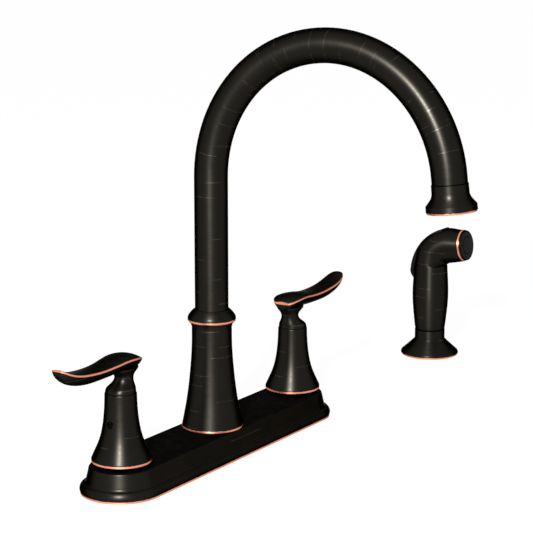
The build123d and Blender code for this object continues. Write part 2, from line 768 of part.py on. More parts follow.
def make_spray_holder():
    """Cone with a neck that the wand stands in, and a tail through the deck."""
    ledge = holder_neck_radius + holder_neck_step
    neck_bottom = holder_cone_top + holder_neck_step_height
    outline = Line((0, 0), (holder_foot_radius, 0))
    outline += ThreePointArc((holder_foot_radius, 0), (holder_rim_radius, holder_rim_height / 2),
                             (holder_rim_radius - holder_rim_taper, holder_rim_height))
    outline += ThreePointArc((holder_rim_radius - holder_rim_taper, holder_rim_height),
                             (holder_cone_radius, holder_cone_middle), (ledge, holder_cone_top))
    outline += Line((ledge, holder_cone_top), (holder_neck_radius, neck_bottom))
    outline += Line((holder_neck_radius, neck_bottom), (holder_neck_radius, holder_height))
    outline += Line((holder_neck_radius, holder_height), (0, holder_height))
    outline += Line((0, holder_height), (0, 0))
    holder = turned(outline)
    holder += rod(holder_tail_radius, -holder_tail_length, 0)
    holder -= rod(holder_bore, holder_height - holder_bore_depth, holder_height + 1)
    return holder - rod(holder_tail_bore, -holder_tail_length - 1, holder_height)


def make_holder_washer():
    """Washer under the deck for the spray holder."""
    return tube(washer_radius, holder_tail_radius + loose_gap, nut_top, nut_top + washer_thickness)


def make_holder_nut():
    """Nut that clamps the spray holder to the deck."""
    nut = hex_bar(holder_nut_flats, nut_top - holder_nut_height, nut_top)
    return nut - rod(holder_tail_radius + fit_gap, nut_top - holder_nut_height - 1, nut_top + 1)


def trigger_point(angle, radius):
    """Point about the centre of the trigger's face: distance along +Y, and height."""
    turn = radians(angle)
    return (-elbow_radius - trigger_centre_drop + radius * cos(turn),
            elbow_height - trigger_centre_drop + radius * sin(turn))


def trigger_side(inner, outer, start, end):
    """Strip that follows the trigger between two radii, as a face in the YZ plane."""
    outside = [trigger_point(angle, outer) for angle in (start, (start + end) / 2, end)]
    inside = [trigger_point(angle, inner) for angle in (end, (start + end) / 2, start)]
    outline = ThreePointArc(*outside) + Line(outside[2], inside[0])
    outline += ThreePointArc(*inside) + Line(inside[2], outside[0])
    return Plane.YZ * make_face(outline)


def head_place(along):
    """Frame on the head's axis, from the end of the bend; its +Z is the way the spray leaves."""
    turn = radians(90 - head_rise)
    origin = (0, -elbow_radius + elbow_radius * cos(turn), elbow_height + elbow_radius * sin(turn))
    return Plane(origin=origin, x_dir=(1, 0, 0), z_dir=(0, -sin(turn), cos(turn))).offset(along)


def make_wand_form():
    """Outer form of the wand: barrel grip, elbow and tapered head with a bevelled end."""
    grip = Line((0, wand_bottom), (wand_foot_radius, wand_bottom))
    grip += Spline((wand_foot_radius, wand_bottom), (grip_waist_radius, grip_waist_height),
                   (grip_radius, grip_height), (grip_neck_radius, elbow_height),
                   tangents=((0.2, 1), (-0.05, 1)))
    grip += Line((grip_neck_radius, elbow_height), (0, elbow_height))
    grip += Line((0, elbow_height), (0, wand_bottom))
    rings = []
    bend = 90 - head_rise
    for share, radius in ((0, grip_neck_radius), (1 / 3, elbow_early_radius), (2 / 3, elbow_late_radius)):
        turn = radians(bend * share)
        origin = (0, -elbow_radius + elbow_radius * cos(turn), elbow_height + elbow_radius * sin(turn))
        rings.append(Plane(origin=origin, x_dir=(1, 0, 0), z_dir=(0, -sin(turn), cos(turn))) * Circle(radius))
    head_end = head_length - face_bevel
    for along, radius in ((0, elbow_section), (head_middle, head_middle_radius), (head_end, head_end_radius)):
        rings.append(head_place(along) * Circle(radius))
    bevel_rings = [rings[-1], head_place(head_length) * Circle(face_radius)]
    return turned(grip) + loft(rings) + loft(bevel_rings)


def pivot_bar(radius, half_length):
    """Round bar along X through the trigger's pivot."""
    return extrude(Plane.YZ * Pos(*pivot_place) * Circle(radius), half_length, both=True)


def make_wand():
    """Spray wand with its valve bore, trigger slot, nozzle recess and plug."""
    plug_bottom = holder_height - holder_bore_depth + loose_gap
    plug = rod(holder_bore - loose_gap, plug_bottom, wand_bottom)
    wand = make_wand_form() + plug
    wand -= rod(swivel_radius + running_gap, plug_bottom - 1, swivel_top + loose_gap)
    clip_top = swivel_clip_height + swivel_clip_thickness
    wand -= rod(swivel_radius + swivel_clip_reach + loose_gap, swivel_clip_height - loose_gap,
                clip_top + loose_gap)
    wand -= rod(spray_stem_radius + loose_gap, plug_bottom, spray_valve_bottom + 1)
    wand -= rod(spray_valve_bore, spray_valve_bottom, pivot_place[1])
    slot_half = trigger_width / 2 + loose_gap
    slot_floor = trigger_inside - trigger_travel
    outside = trigger_radius + 8
    slot = extrude(trigger_side(slot_floor, outside, trigger_start + 1.2, trigger_end), slot_half, both=True)
    floor_y, slot_end = trigger_point(trigger_end + 0.5, slot_floor)
    tip_z = elbow_height - trigger_tip_drop
    toe_room = closed((floor_y, slot_end), (floor_y - toe_room_inset, tip_z - trigger_travel + 0.4),
                      (trigger_tip_reach + 0.7, tip_z - 0.45), (outside, tip_z + 4), (outside, slot_end))
    wand -= slot + extrude(Plane.YZ * make_face(toe_room), slot_half, both=True)
    wand -= pivot_bar(trigger_lug_radius + loose_gap + 0.2, trigger_lug_half + loose_gap)
    wand -= pivot_bar(pivot_pin_radius + fit_gap, trigger_pin_half + seat_gap)
    return wand - head_place(head_length) * rod(nozzle_disc_radius + fit_gap, -nozzle_disc_thickness - 0.5, 3)


def make_trigger():
    """Curved thumb lever over the elbow, with a hinge lug and a finger for the valve."""
    side = trigger_side(trigger_inside, trigger_radius, trigger_start, trigger_end)
    blade = extrude(side, trigger_width / 2, both=True)
    rims = [edge for edge in blade.edges().filter_by(GeomType.CIRCLE) if edge.radius > trigger_inside + 1]
    blade = fillet(rims, trigger_edge_radius) + trigger_toe()
    middle = trigger_radius - trigger_thickness / 2
    centre_y, centre_z = trigger_point(0, 0)
    finger_top = centre_z + sqrt(middle ** 2 - centre_y ** 2)
    trigger = blade + pivot_bar(trigger_lug_radius, trigger_lug_half)
    trigger += rod(trigger_finger_radius, spray_stem_top + loose_gap, finger_top)
    return trigger - pivot_bar(pivot_pin_radius + running_gap, trigger_width)


def trigger_toe():
    """Thumb end of the trigger, rounding in below the elbow."""
    start_out = trigger_point(trigger_end + 1, trigger_radius)
    start_in = trigger_point(trigger_end + 1, trigger_inside)
    tip = (trigger_tip_reach, elbow_height - trigger_tip_drop)
    bulge = (tip[0] + toe_bulge[0], tip[1] + toe_bulge[1])
    edge = (tip[0] - toe_edge[0], tip[1] + toe_edge[1])
    outline = ThreePointArc(start_out, bulge, tip)
    outline += Line(tip, edge) + Line(edge, start_in) + Line(start_in, start_out)
    return extrude(Plane.YZ * make_face(outline), trigger_width / 2 - toe_inset, both=True)


def make_trigger_pin():
    """Pin the trigger turns on, held in the wand."""
    return pivot_bar(pivot_pin_radius, trigger_pin_half)


def make_spray_stem():
    """Valve stem pushed down by the trigger's finger."""
    flange_top = spray_guide_bottom - loose_gap
    stem = rod(spray_stem_radius, spray_valve_bottom + 4, spray_stem_top)
    return stem + rod(spray_stem_flange, flange_top - spray_flange_thickness, flange_top)


def make_spray_guide():
    """Bush that guides the stem in the wand."""
    return tube(spray_valve_bore - fit_gap, spray_stem_radius + running_gap, spray_guide_bottom,
                spray_guide_bottom + spray_guide_height)


def spring_bottom():
    """Height of the spring's lower end."""
    return spray_guide_bottom - loose_gap - spray_flange_thickness - spray_spring_height


def make_spray_spring():
    """Return spring below the stem's flange."""
    pitch = (spray_spring_height - 2 * spray_spring_wire) / spray_spring_turns
    path = Helix(pitch, pitch * spray_spring_turns, spray_spring_radius)
    start = Plane(origin=path @ 0, z_dir=path % 0)
    coil = sweep(start * Circle(spray_spring_wire), path=path, is_frenet=True)
    return Pos(0, 0, spring_bottom() + spray_spring_wire) * coil


def make_spray_seat():
    """Seat under the spring, round the lower end of the stem."""
    return tube(spray_valve_bore - fit_gap, spray_stem_radius + loose_gap, spray_valve_bottom,
                spring_bottom())


def make_nozzle():
    """Domed spray face with its ring of jets."""
    back = -nozzle_disc_thickness
    dome_radius = (nozzle_disc_radius ** 2 + face_dome ** 2) / (2 * face_dome)
    dome = Pos(0, 0, face_dome - dome_radius) * Sphere(dome_radius)
    nozzle = rod(nozzle_disc_radius, back, face_dome + 1) & dome
    for jet in range(nozzle_holes):
        hole = Pos(nozzle_ring_radius, 0, 0) * rod(nozzle_hole_radius, back - 1, face_dome + 1)
        nozzle -= Rot(0, 0, (jet + 0.5) * 360 / nozzle_holes) * hole
    return head_place(head_length) * nozzle


def make_spray_swivel():
    """Hollow inlet the wand turns on, threaded below for a hose."""
    inlet = rod(inlet_radius, inlet_bottom, inlet_top)
    inlet = chamfer(inlet.faces().sort_by(Axis.Z)[0].edges(), thread_chamfer)
    swivel = inlet + rod(swivel_radius, inlet_top, swivel_top)
    clip_top = swivel_clip_height + swivel_clip_thickness
    swivel -= tube(swivel_radius + 1, swivel_radius - swivel_groove_depth, swivel_clip_height - fit_gap,
                   clip_top + fit_gap)
    return swivel - rod(swivel_bore, inlet_bottom - 1, swivel_top + 1)


def make_swivel_clip():
    """Split clip that keeps the wand on its swivel."""
    inner = swivel_radius - swivel_groove_depth + fit_gap
    clip_top = swivel_clip_height + swivel_clip_thickness
    ring = tube(swivel_radius + swivel_clip_reach, inner, swivel_clip_height, clip_top)
    return ring - Pos(swivel_radius, 0, swivel_clip_height) * Box(2 * swivel_radius, swivel_clip_opening, 6)


# ---- build every piece -----------------------------------------------------------------

def build():
    """Writes each piece to its own file."""
    os.makedirs("parts", exist_ok=True)
    save(make_deck_plate(), "deck_plate")
    save(make_plate_gasket(), "plate_gasket")
    save(make_spout_post(), "spout_post")
    save(make_post_seals(), "post_seals")
    save(make_spout_clip(), "spout_clip")
    save(make_diverter(), "diverter")
    save(make_spray_nipple(), "spray_nipple")
    save(make_hub_washer(), "hub_washer")
    mirrored = {
        "waterway_tube": Pos(-handle_x, 0, 0) * make_waterway(),
        "valve_body": mirror(make_valve_body(), Plane.YZ),
        "cartridge": make_cartridge(),
        "fixed_disc": make_fixed_disc(),
        "turning_disc": make_turning_disc(),
        "valve_stem": make_valve_stem(),
        "bonnet_nut": make_bonnet_nut(),
        "stem_adapter": make_stem_adapter(),
        "handle": make_handle(),
        "set_screw": make_set_screw(),
        "mount_washer": make_mount_washer(),
        "mount_nut": make_mount_nut(),
    }
    for name, part in mirrored.items():
        save(on_side(part, -1), name + "_left")
        save(on_side(part, 1), name + "_right")
    save(make_spout_tube(), "spout_tube")
    save(make_spout_hub(), "spout_hub")
    save(make_spout_collar(), "spout_collar")
    save(make_spout_sleeve(), "spout_sleeve")
    save(make_outlet(), "spout_outlet")
    save(make_outlet_washer(), "outlet_washer")
    save(make_aerator(), "aerator")
    spray = {
        "spray_holder": make_spray_holder(),
        "holder_washer": make_holder_washer(),
        "holder_nut": make_holder_nut(),
        "spray_wand": make_wand(),
        "spray_nozzle": make_nozzle(),
        "spray_trigger": make_trigger(),
        "trigger_pin": make_trigger_pin(),
        "spray_stem": make_spray_stem(),
        "stem_guide": make_spray_guide(),
        "spray_spring": make_spray_spring(),
        "spring_seat": make_spray_seat(),
        "spray_swivel": make_spray_swivel(),
        "swivel_clip": make_swivel_clip(),
    }
    for name, part in spray.items():
        save(Pos(spray_distance, 0, 0) * part, name)


build()
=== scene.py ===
import json
from math import cos, pi, radians, sin

import bpy
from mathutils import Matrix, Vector


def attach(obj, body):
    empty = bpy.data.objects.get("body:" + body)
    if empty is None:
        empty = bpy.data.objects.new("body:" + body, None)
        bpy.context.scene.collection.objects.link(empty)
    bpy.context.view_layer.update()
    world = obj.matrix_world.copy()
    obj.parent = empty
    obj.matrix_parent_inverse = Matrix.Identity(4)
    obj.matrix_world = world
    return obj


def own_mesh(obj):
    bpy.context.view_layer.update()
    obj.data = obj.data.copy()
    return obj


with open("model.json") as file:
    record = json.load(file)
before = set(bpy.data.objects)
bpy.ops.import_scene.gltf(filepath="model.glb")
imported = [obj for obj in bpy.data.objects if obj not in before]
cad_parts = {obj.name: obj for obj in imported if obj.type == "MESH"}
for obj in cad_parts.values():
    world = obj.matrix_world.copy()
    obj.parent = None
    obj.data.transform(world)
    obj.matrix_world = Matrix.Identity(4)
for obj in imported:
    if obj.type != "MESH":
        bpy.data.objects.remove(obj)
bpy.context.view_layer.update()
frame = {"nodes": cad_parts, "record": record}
nodes = frame["nodes"]
mm = 0.001
white = (1.0, 1.0, 1.0, 1.0)
upright = (0.0, 0.0, 1.0)
sideways = (1.0, 0.0, 0.0)


# a unit vector from the origin: degrees round from the front, and degrees up
def pointTo(azimuth, height):
    a = radians(azimuth)
    h = radians(height)
    return Vector((sin(a) * cos(h), -cos(a) * cos(h), sin(h)))


def toLinear(hexColour):
    parts = [int(hexColour[i:i + 2], 16) / 255 for i in (1, 3, 5)]
    return tuple(c / 12.92 if c <= 0.04045 else ((c + 0.055) / 1.055) ** 2.4 for c in parts) + (1.0,)


# adds a node, gives its settings, and fills or links its inputs; a socket as a value is a link.
# a colour mix has its share at input 0, its colours at 6 and 7 and its result at output 2;
# a vector mix has them at 0, 4 and 5, and 1
def addNode(tree, kind, inputs=None, **settings):
    node = tree.nodes.new(kind)
    for key, value in settings.items():
        setattr(node, key, value)
    for key, value in (inputs or {}).items():
        if isinstance(value, bpy.types.NodeSocket):
            tree.links.new(value, node.inputs[key])
        else:
            node.inputs[key].default_value = value
    return node


def newMaterial(name):
    material = bpy.data.materials.new(name)
    material.use_nodes = True
    material.node_tree.nodes.clear()
    return material, material.node_tree


# camera, at the photograph's place and angle
photoView = {
    "azimuth": -57.52,                       # degrees
    "pitch": 12.06,
    "place": (-1073.76, -726.41, 402.95),    # mm
    "focalPixels": 2015.95,
    "framePixels": 533.0,
    "sensor": 36.0,                          # mm
    "near": 0.05,                            # m
    "far": 60.0,
}


def makeCamera(v):
    back = pointTo(v["azimuth"], v["pitch"])
    data = bpy.data.cameras.new("photoCamera")
    data.sensor_width = v["sensor"]
    data.lens = v["focalPixels"] * v["sensor"] / v["framePixels"]
    data.clip_start = v["near"]
    data.clip_end = v["far"]
    camera = bpy.data.objects.new("photoCamera", data)
    camera.location = Vector(v["place"]) * mm
    camera.rotation_mode = "QUATERNION"
    camera.rotation_quaternion = (-back).to_track_quat("-Z", "Y")
    bpy.context.scene.collection.objects.link(camera)
    bpy.context.scene.camera = camera


makeCamera(photoView)
print("camera set")


# lamps and world: one small key lamp from the left, white all round
studio = {
    "worldFill": 0.5,        # what a matt surface gets from all round
    "keyAzimuth": -66.2,     # degrees
    "keyHeight": 33.5,
    "keyDistance": 1.13,     # m
    "keySize": 0.12,
    "keyPower": 9.0,         # W, seen by everything
    "gleamPower": 27.0,      # same place, only in what shines
    "floorGlow": 0.75,       # share of the floor that gives its own light
    "floorStrength": 1.17,   # with the paint's part this comes to 1, which is white
    "floorPaint": "#f2f2f2",
    "floorHalf": 12.0,       # m
    "floorLevel": -0.0002,
}


def addLamp(name, s, power, matt):
    towards = pointTo(s["keyAzimuth"], s["keyHeight"])
    data = bpy.data.lights.new(name, "AREA")
    data.shape = "DISK"
    data.size = s["keySize"]
    data.energy = power
    lamp = bpy.data.objects.new(name, data)
    lamp.location = towards * s["keyDistance"]
    lamp.rotation_mode = "QUATERNION"
    lamp.rotation_quaternion = towards.to_track_quat("Z", "Y")
    lamp.visible_diffuse = matt
    bpy.context.scene.collection.objects.link(lamp)


# 1 where a ray comes from the lens, a shiny surface or through glass
def addSeen(tree):
    path = addNode(tree, "ShaderNodeLightPath").outputs
    seen = addNode(tree, "ShaderNodeMath", {0: path["Is Camera Ray"], 1: path["Is Glossy Ray"]},
                   operation="MAXIMUM").outputs[0]
    return addNode(tree, "ShaderNodeMath", {0: seen, 1: path["Is Transmission Ray"]},
                   operation="MAXIMUM").outputs[0]


def makeWorld(s):
    world = bpy.data.worlds.new("studioWhite")
    world.use_nodes = True
    tree = world.node_tree
    tree.nodes.clear()
    strength = addNode(tree, "ShaderNodeMapRange",
                       {"Value": addSeen(tree), "To Min": s["worldFill"], "To Max": 1.0}).outputs[0]
    light = addNode(tree, "ShaderNodeBackground", {"Color": white, "Strength": strength}).outputs[0]
    addNode(tree, "ShaderNodeOutputWorld", {"Surface": light})
    bpy.context.scene.world = world


def makeFloor(s):
    material, tree = newMaterial("paleFloor")
    glow = addNode(tree, "ShaderNodeEmission",
                   {"Color": white, "Strength": s["floorStrength"]}).outputs[0]
    paint = addNode(tree, "ShaderNodeBsdfDiffuse", {"Color": toLinear(s["floorPaint"])}).outputs[0]
    share = addNode(tree, "ShaderNodeMath", {0: addSeen(tree), 1: s["floorGlow"]},
                    operation="MULTIPLY").outputs[0]
    mix = addNode(tree, "ShaderNodeMixShader", {0: share, 1: paint, 2: glow}).outputs[0]
    addNode(tree, "ShaderNodeOutputMaterial", {"Surface": mix})
    h = s["floorHalf"]
    corners = [(x, y, s["floorLevel"]) for x, y in ((-h, -h), (h, -h), (h, h), (-h, h))]
    data = bpy.data.meshes.new("deckFloor")
    data.from_pydata(corners, [], [(0, 1, 2, 3)])
    data.materials.append(material)
    floor = bpy.data.objects.new("deckFloor", data)
    bpy.context.scene.collection.objects.link(floor)


bpy.context.scene.view_settings.view_transform = "Standard"
makeWorld(studio)
makeFloor(studio)
addLamp("keyLamp", studio, studio["keyPower"], True)
addLamp("gleamLamp", studio, studio["gleamPower"], False)
print("studio set")


# oil rubbed bronze, satin brushed round the piece: near black, with a tall narrow gleam that the
# brushing draws out along the axis, edges rubbed through to warm copper, and thin dull scuffs
bronze = {
    "base": "#201f1c",
    "warm": "#23201d",
    "patchScale": 0.06,         # of the warm patches, per mm
    "patchRange": (0.4, 0.7),   # of the noise, from none to whole
    "copper": "#e6977a",
    "scuff": "#6f6357",
    # painted shade in the seams between parts, and the softness of its edges
    "seamShade": "#060606",
    "seamShadeSoft": 0.08,           # mm
    "rim": "#7c7c7c",           # what it reflects at a grazing angle
    "sheen": (0.38, 0.62),      # roughness and anisotropy
    "brushPitch": 0.5,          # mm, coarser than the real brushing so that it shows
    "brushDrift": 0.15,         # how fast a line changes along its own way, per mm
    "brushRange": (0.3, 0.7),
    "brushSwing": 0.035,        # of the roughness
    "levelFrom": 0.85,          # a face whose normal is this upright is brushed sideways
    "bandSoft": 0.16,           # mm, at the edges of the copper
    "bandWander": 0.35,         # mm that the copper's edge goes up and down
    "wanderScale": 0.35,        # per mm
}
mouldedSheen = (0.41, 0.78)     # the spray's coated mouldings have a thinner gleam

# thin scuffs that run round a piece: each cell of its length and part of its girth may hold one
scuffs = {
    "pitch": 9.0,               # mm between cells
    "coarser": 4.3,             # added for each further set
    "parts": 3.0,               # of the girth
    "cellSeed": (7.31, 40.0),   # shift of the cells for a set, and for all
    "keySeed": 0.5,             # this and the next only vary the draws
    "sizeSeed": 17.0,
    "width": 0.36,              # mm
    "widthSoft": (0.3, 0.8),    # shares of the width where it is whole and where it ends
    "chance": 0.52,
    "slant": 0.07,
    "alongCell": (0.1, 0.9),    # where its middle lies in the cell's length
    "roundPart": (0.36, 0.64),  # and in its part of the girth
    "reach": (0.10, 0.42),      # to each side, in parts of the girth
    "endSoft": 0.06,
    "depth": (0.35, 1.0),       # faintest and strongest
    "strength": 0.55,
    "wornScale": 0.55,          # per mm
    "wornRange": (0.38, 0.6),
    "wornLeast": 0.2,           # share of the strength where it is worn away
}


# the shaded point in mm from a centre
def addPlace(tree, centre=(0.0, 0.0, 0.0)):
    coords = addNode(tree, "ShaderNodeTexCoord").outputs["Object"]
    scaled = addNode(tree, "ShaderNodeVectorMath", {0: coords, "Scale": 1 / mm},
                     operation="SCALE").outputs[0]
    return addNode(tree, "ShaderNodeVectorMath", {0: scaled, 1: centre},
                   operation="SUBTRACT").outputs[0]


# where it lies along an upright axis and round it
def addTurned(tree, centreX=0.0):
    point = addPlace(tree, (centreX, 0.0, 0.0))
    x, y, z = addNode(tree, "ShaderNodeSeparateXYZ", {0: point}).outputs
    angle = addNode(tree, "ShaderNodeMath", {0: y, 1: x}, operation="ARCTAN2").outputs[0]
    flat = addNode(tree, "ShaderNodeCombineXYZ", {0: x, 1: y}).outputs[0]
    ring = addNode(tree, "ShaderNodeVectorMath", {0: flat}, operation="NORMALIZE").outputs[0]
    return {"point": point, "along": z, "angle": angle, "ring": ring}


# the point from the start of a slanting axis, and where it lies along that axis
def addAlong(tree, place, axis):
    point = addPlace(tree, place)
    along = addNode(tree, "ShaderNodeVectorMath", {0: point, 1: axis},
                    operation="DOT_PRODUCT").outputs["Value"]
    return point, along


# the same and where it lies round that axis; away leads to it straight out from the axis
def addSlanted(tree, place, axis):
    point, along = addAlong(tree, place, axis)
    step = addNode(tree, "ShaderNodeVectorMath", {0: axis, "Scale": along}, operation="SCALE").outputs[0]
    away = addNode(tree, "ShaderNodeVectorMath", {0: point, 1: step}, operation="SUBTRACT").outputs[0]
    ring = addNode(tree, "ShaderNodeVectorMath", {0: away}, operation="NORMALIZE").outputs[0]
    split = addNode(tree, "ShaderNodeSeparateXYZ", {0: ring}).outputs
    angle = addNode(tree, "ShaderNodeMath", {0: split[2], 1: split[0]}, operation="ARCTAN2").outputs[0]
    return {"point": point, "along": along, "angle": angle, "ring": ring, "away": away}


# 1 between two values, with soft ends
def addBand(tree, value, low, high, soft):
    rise = addNode(tree, "ShaderNodeMapRange",
                   {"Value": value, "From Min": low - soft, "From Max": low + soft},
                   interpolation_type="SMOOTHSTEP").outputs[0]
    fall = addNode(tree, "ShaderNodeMapRange",
                   {"Value": value, "From Min": high - soft, "From Max": high + soft,
                    "To Min": 1.0, "To Max": 0.0},
                   interpolation_type="SMOOTHSTEP").outputs[0]
    return addNode(tree, "ShaderNodeMath", {0: rise, 1: fall}, operation="MULTIPLY").outputs[0]


def addScuffs(tree, run, s, seed):
    pitch = s["pitch"] + s["coarser"] * seed
    parts = s["parts"]
    cells = addNode(tree, "ShaderNodeMath",
                    {0: run["along"], 1: 1.0 / pitch, 2: seed * s["cellSeed"][0] + s["cellSeed"][1]},
                    operation="MULTIPLY_ADD").outputs[0]
    cell = addNode(tree, "ShaderNodeMath", {0: cells}, operation="FLOOR").outputs[0]
    local = addNode(tree, "ShaderNodeMath", {0: cells}, operation="FRACT").outputs[0]
    # the parts of the girth start at another place in each cell
    start = addNode(tree, "ShaderNodeTexWhiteNoise", {"W": cell}, noise_dimensions="1D").outputs["Value"]
    start = addNode(tree, "ShaderNodeMath", {0: start, 1: parts, 2: parts / 2},
                    operation="MULTIPLY_ADD").outputs[0]
    girth = addNode(tree, "ShaderNodeMath", {0: run["angle"], 1: parts / (2 * pi), 2: start},
                    operation="MULTIPLY_ADD").outputs[0]
    girth = addNode(tree, "ShaderNodeMath", {0: girth, 1: parts, 2: 0.0}, operation="WRAP").outputs[0]
    part = addNode(tree, "ShaderNodeMath", {0: girth}, operation="FLOOR").outputs[0]
    side = addNode(tree, "ShaderNodeMath", {0: girth}, operation="FRACT").outputs[0]
    key = addNode(tree, "ShaderNodeCombineXYZ", {0: cell, 1: part, 2: seed + s["keySeed"]}).outputs[0]
    luck = addNode(tree, "ShaderNodeTexWhiteNoise", {"Vector": key}, noise_dimensions="3D").outputs
    draws = addNode(tree, "ShaderNodeSeparateColor", {0: luck["Color"]}).outputs
    middle = addNode(tree, "ShaderNodeMapRange",
                     {"Value": draws[0], "To Min": s["alongCell"][0],
                      "To Max": s["alongCell"][1]}).outputs[0]
    centre = addNode(tree, "ShaderNodeMapRange",
                     {"Value": draws[1], "To Min": s["roundPart"][0],
                      "To Max": s["roundPart"][1]}).outputs[0]
    slant = addNode(tree, "ShaderNodeMapRange",
                    {"Value": draws[2], "To Min": -s["slant"], "To Max": s["slant"]}).outputs[0]
    # across the scuff, in mm
    aside = addNode(tree, "ShaderNodeMath", {0: side, 1: centre}, operation="SUBTRACT").outputs[0]
    lean = addNode(tree, "ShaderNodeMath", {0: aside, 1: slant}, operation="MULTIPLY").outputs[0]
    line = addNode(tree, "ShaderNodeMath", {0: middle, 1: lean}, operation="ADD").outputs[0]
    gap = addNode(tree, "ShaderNodeMath", {0: local, 1: line}, operation="SUBTRACT").outputs[0]
    gap = addNode(tree, "ShaderNodeMath", {0: gap}, operation="ABSOLUTE").outputs[0]
    across = addNode(tree, "ShaderNodeMath", {0: gap, 1: pitch}, operation="MULTIPLY").outputs[0]
    whole, gone = (s["width"] * share for share in s["widthSoft"])
    thin = addNode(tree, "ShaderNodeMapRange",
                   {"Value": across, "From Min": whole, "From Max": gone, "To Min": 1.0, "To Max": 0.0},
                   interpolation_type="SMOOTHSTEP").outputs[0]
    # along the scuff, in parts of the girth
    size = addNode(tree, "ShaderNodeMath", {0: luck["Value"], 1: s["sizeSeed"]},
                   operation="MULTIPLY").outputs[0]
    size = addNode(tree, "ShaderNodeMath", {0: size}, operation="FRACT").outputs[0]
    reach = addNode(tree, "ShaderNodeMapRange",
                    {"Value": size, "To Min": s["reach"][0], "To Max": s["reach"][1]}).outputs[0]
    away = addNode(tree, "ShaderNodeMath", {0: aside}, operation="ABSOLUTE").outputs[0]
    over = addNode(tree, "ShaderNodeMath", {0: away, 1: reach}, operation="SUBTRACT").outputs[0]
    short = addNode(tree, "ShaderNodeMapRange",
                    {"Value": over, "From Min": -s["endSoft"], "From Max": 0.0,
                     "To Min": 1.0, "To Max": 0.0},
                    interpolation_type="SMOOTHSTEP").outputs[0]
    there = addNode(tree, "ShaderNodeMath", {0: luck["Value"], 1: s["chance"]},
                    operation="LESS_THAN").outputs[0]
    depth = addNode(tree, "ShaderNodeMapRange",
                    {"Value": draws[0], "To Min": s["depth"][0], "To Max": s["depth"][1]}).outputs[0]
    worn = addNode(tree, "ShaderNodeTexNoise",
                   {"Vector": run["point"], "Scale": s["wornScale"], "Detail": 2.0}).outputs["Fac"]
    worn = addNode(tree, "ShaderNodeMapRange",
                   {"Value": worn, "From Min": s["wornRange"][0], "From Max": s["wornRange"][1],
                    "To Min": s["strength"] * s["wornLeast"], "To Max": s["strength"]}).outputs[0]
    mark = thin
    for factor in (short, there, depth, worn):
        mark = addNode(tree, "ShaderNodeMath", {0: mark, 1: factor}, operation="MULTIPLY").outputs[0]
    return mark


# where the copper shows: in the piece's band, whose height wanders a little, and in what extra adds
def addRubbed(tree, run, piece, extra):
    wander = addNode(tree, "ShaderNodeTexNoise",
                     {"Vector": run["point"], "Scale": bronze["wanderScale"],
                      "Detail": 3.0}).outputs["Fac"]
    wander = addNode(tree, "ShaderNodeMapRange",
                     {"Value": wander, "To Min": -bronze["bandWander"],
                      "To Max": bronze["bandWander"]}).outputs[0]
    rubbed = extra(tree, run, wander) if extra else None
    if "band" in piece:
        height = addNode(tree, "ShaderNodeMath", {0: run["along"], 1: wander}, operation="ADD").outputs[0]
        band = addBand(tree, height, *piece["band"], bronze["bandSoft"])
        if rubbed:
            band = addNode(tree, "ShaderNodeMath", {0: rubbed, 1: band}, operation="MAXIMUM").outputs[0]
        rubbed = band
    return rubbed


def addBronzeColour(tree, run, piece, rubbed):
    patch = addNode(tree, "ShaderNodeTexNoise",
                    {"Vector": run["point"], "Scale": bronze["patchScale"],
                     "Detail": 4.0}).outputs["Fac"]
    patch = addNode(tree, "ShaderNodeMapRange",
                    {"Value": patch, "From Min": bronze["patchRange"][0],
                     "From Max": bronze["patchRange"][1]}).outputs[0]
    colour = addNode(tree, "ShaderNodeMix",
                     {0: patch, 6: toLinear(bronze["base"]), 7: toLinear(bronze["warm"])},
                     data_type="RGBA").outputs[2]
    marks = addScuffs(tree, run, scuffs, 0)
    for seed in range(1, piece["scuffSets"]):
        mark = addScuffs(tree, run, scuffs, seed)
        marks = addNode(tree, "ShaderNodeMath", {0: marks, 1: mark}, operation="MAXIMUM").outputs[0]
    layers = [(marks, bronze["scuff"])]
    if rubbed:
        layers.append((rubbed, bronze["copper"]))
    # painted shade in a seam, where two parts meet
    if "seamShade" in piece:
        layers.append((addBand(tree, run["along"], *piece["seamShade"], bronze["seamShadeSoft"]), bronze["seamShade"]))
    for share, over in layers:
        colour = addNode(tree, "ShaderNodeMix", {0: share, 6: colour, 7: toLinear(over)},
                         data_type="RGBA").outputs[2]
    return colour


# fine lines round the piece, as a swing of the roughness
def addBrushing(tree, run, rough):
    lift = addNode(tree, "ShaderNodeMath", {0: run["along"], 1: 1 / bronze["brushPitch"]},
                   operation="MULTIPLY").outputs[0]
    lines = addNode(tree, "ShaderNodeCombineXYZ", {2: lift}).outputs[0]
    drift = addNode(tree, "ShaderNodeVectorMath",
                    {0: run["point"], 1: (bronze["brushDrift"],) * 3, 2: run["ring"]},
                    operation="MULTIPLY_ADD").outputs[0]
    lines = addNode(tree, "ShaderNodeVectorMath", {0: lines, 1: drift}, operation="ADD").outputs[0]
    brush = addNode(tree, "ShaderNodeTexNoise",
                    {"Vector": lines, "Scale": 1.0, "Detail": 1.0}).outputs["Fac"]
    least, most = bronze["brushRange"]
    return addNode(tree, "ShaderNodeMapRange",
                   {"Value": brush, "From Min": least, "From Max": most,
                    "To Min": rough - bronze["brushSwing"],
                    "To Max": rough + bronze["brushSwing"]}).outputs[0]


# the way of the gleam is the piece's axis, but a level face is brushed along the faucet's length
def addWay(tree, axis):
    facing = addNode(tree, "ShaderNodeNewGeometry").outputs["Normal"]
    facing = addNode(tree, "ShaderNodeSeparateXYZ", {0: facing}).outputs[2]
    facing = addNode(tree, "ShaderNodeMath", {0: facing}, operation="ABSOLUTE").outputs[0]
    level = addNode(tree, "ShaderNodeMath", {0: facing, 1: bronze["levelFrom"]},
                    operation="GREATER_THAN").outputs[0]
    return addNode(tree, "ShaderNodeMix", {0: level, 4: axis, 5: sideways}, data_type="VECTOR").outputs[1]


